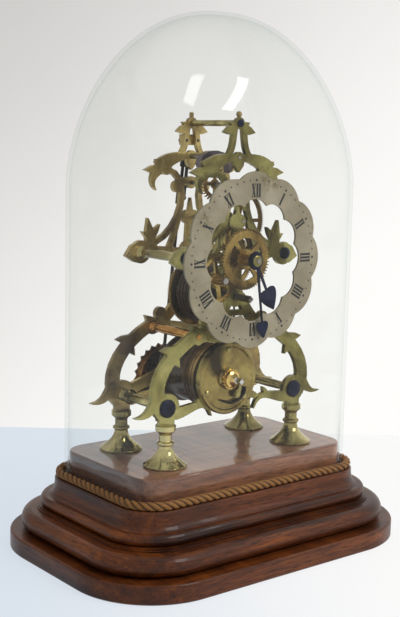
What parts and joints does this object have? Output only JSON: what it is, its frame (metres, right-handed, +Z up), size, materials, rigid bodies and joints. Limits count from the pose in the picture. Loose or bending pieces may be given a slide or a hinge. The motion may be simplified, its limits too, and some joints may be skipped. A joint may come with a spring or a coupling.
{
  "type": "skeleton clock",
  "caption": "Skeleton clock with pierced brass plates, fusee and barrel, open train, scalloped dial and pendulum, standing on a moulded wooden base under a lift-off oblong glass dome.",
  "frame": {"origin": "middle of the base's underside, on the surface that the clock stands on", "axes": "+X to the right of the dial seen from the front, -Y out of the dial towards the viewer, +Z up"},
  "size_m": [0.282, 0.1976, 0.3955],
  "materials": {
    "mahogany": "French polished, dark red-brown",
    "brass": "lacquered, aged to olive gold",
    "dark_brass": "tarnished brown",
    "steel": "ground bright",
    "blued_steel": "heat blued, almost black",
    "silvered_brass": "silvered, matt warm grey",
    "glass": "clear blown glass",
    "rope": "twisted silk cord, golden brown",
    "gut": "gut, tan"
  },
  "bodies": {
    "frame": {"base_plinth": "mahogany", "base_moulding": "mahogany", "base_platform": "mahogany", "dome_cord": "rope", "foot_front_left": "brass", "foot_front_right": "brass", "foot_back_left": "brass", "foot_back_right": "brass", "front_plate": "brass", "back_plate": "brass", "lower_pillars": "brass", "waist_pillars": "brass", "middle_pillars": "brass", "top_pillar": "brass", "lug_screws": "blued_steel", "pillar_screws": "blued_steel", "finials": "brass", "dial_ring": "silvered_brass", "dial_feet": "brass", "barrel_bridge": "brass", "bridge_screws": "blued_steel", "barrel_arbor": "steel", "setup_ratchet": "steel", "click_spring": "blued_steel", "gut_line": "gut", "minute_wheel_stud": "steel", "suspension_cock": "brass", "cock_screws": "blued_steel", "suspension_spring": "steel"},
    "dome": {"glass_dome": "glass"},
    "click": {"setup_click": "brass"},
    "barrel": {"barrel_drum": "brass", "barrel_cap": "brass", "mainspring": "steel"},
    "great": {"great_wheel": "brass", "great_click": "steel"},
    "fusee": {"fusee_cone": "dark_brass", "fusee_arbor": "steel", "fusee_ratchet": "steel"},
    "centre": {"centre_arbor": "steel", "centre_wheel": "brass", "cannon_pinion": "brass", "minute_hand": "blued_steel", "hand_collet": "brass"},
    "minute": {"minute_wheel": "brass"},
    "hour": {"hour_wheel": "brass", "hour_pipe": "brass", "hour_hand": "blued_steel"},
    "third": {"third_arbor": "steel", "third_wheel": "brass"},
    "escape": {"escape_arbor": "steel", "escape_wheel": "brass"},
    "pallet": {"pallet_arbor": "steel", "pallets": "steel", "crutch": "steel"},
    "pendulum": {"pendulum_rod": "steel", "pendulum_bob": "dark_brass", "rating_nut": "brass"}
  },
  "joints": [
    {"name": "dome_lift", "type": "slide", "parent": "frame", "child": "dome", "axis": [0, 0, 1], "range_m": [0, 0.34]},
    {"name": "centre_turn", "type": "hinge", "parent": "frame", "child": "centre", "pos_m": [0, 0, 0.2185], "axis": [0, 1, 0], "continuous": true},
    {"name": "great_wheel_turn", "type": "hinge", "parent": "frame", "child": "great", "pos_m": [0, 0, 0.19], "axis": [0, 1, 0], "continuous": true},
    {"name": "fusee_wind", "type": "hinge", "parent": "great", "child": "fusee", "pos_m": [0, 0, 0.19], "axis": [0, 1, 0], "continuous": true},
    {"name": "barrel_turn", "type": "hinge", "parent": "frame", "child": "barrel", "pos_m": [-0.008, 0, 0.1305], "axis": [0, 1, 0], "continuous": true},
    {"name": "third_turn", "type": "hinge", "parent": "frame", "child": "third", "pos_m": [0.005, 0, 0.245], "axis": [0, 1, 0], "continuous": true},
    {"name": "escape_turn", "type": "hinge", "parent": "frame", "child": "escape", "pos_m": [0, 0, 0.271], "axis": [0, 1, 0], "continuous": true},
    {"name": "minute_wheel_turn", "type": "hinge", "parent": "frame", "child": "minute", "pos_m": [-0.02064, 0, 0.20405], "axis": [0, 1, 0], "continuous": true},
    {"name": "hour_turn", "type": "hinge", "parent": "frame", "child": "hour", "pos_m": [0, 0, 0.2185], "axis": [0, 1, 0], "continuous": true},
    {"name": "pendulum_swing", "type": "hinge", "parent": "frame", "child": "pendulum", "pos_m": [0, 0, 0.291], "axis": [0, -1, 0], "range_deg": [0, 12]},
    {"name": "pallet_rock", "type": "hinge", "parent": "frame", "child": "pallet", "pos_m": [0, 0, 0.291], "axis": [0, -1, 0], "range_deg": [0, 12]},
    {"name": "click_lift", "type": "hinge", "parent": "frame", "child": "click", "pos_m": [-0.00166, 0, 0.11858], "axis": [0, 1, 0], "range_deg": [0, 14]}
  ],
  "couplings": [
    {"joint": "great_wheel_turn", "follows": "centre_turn", "ratio": -0.083333},
    {"joint": "third_turn", "follows": "centre_turn", "ratio": -12.25},
    {"joint": "escape_turn", "follows": "centre_turn", "ratio": 147},
    {"joint": "minute_wheel_turn", "follows": "centre_turn", "ratio": -0.5},
    {"joint": "hour_turn", "follows": "centre_turn", "ratio": 0.083333},
    {"joint": "barrel_turn", "follows": "fusee_wind", "ratio": 0.72},
    {"joint": "pallet_rock", "follows": "pendulum_swing", "ratio": 1}
  ]
}
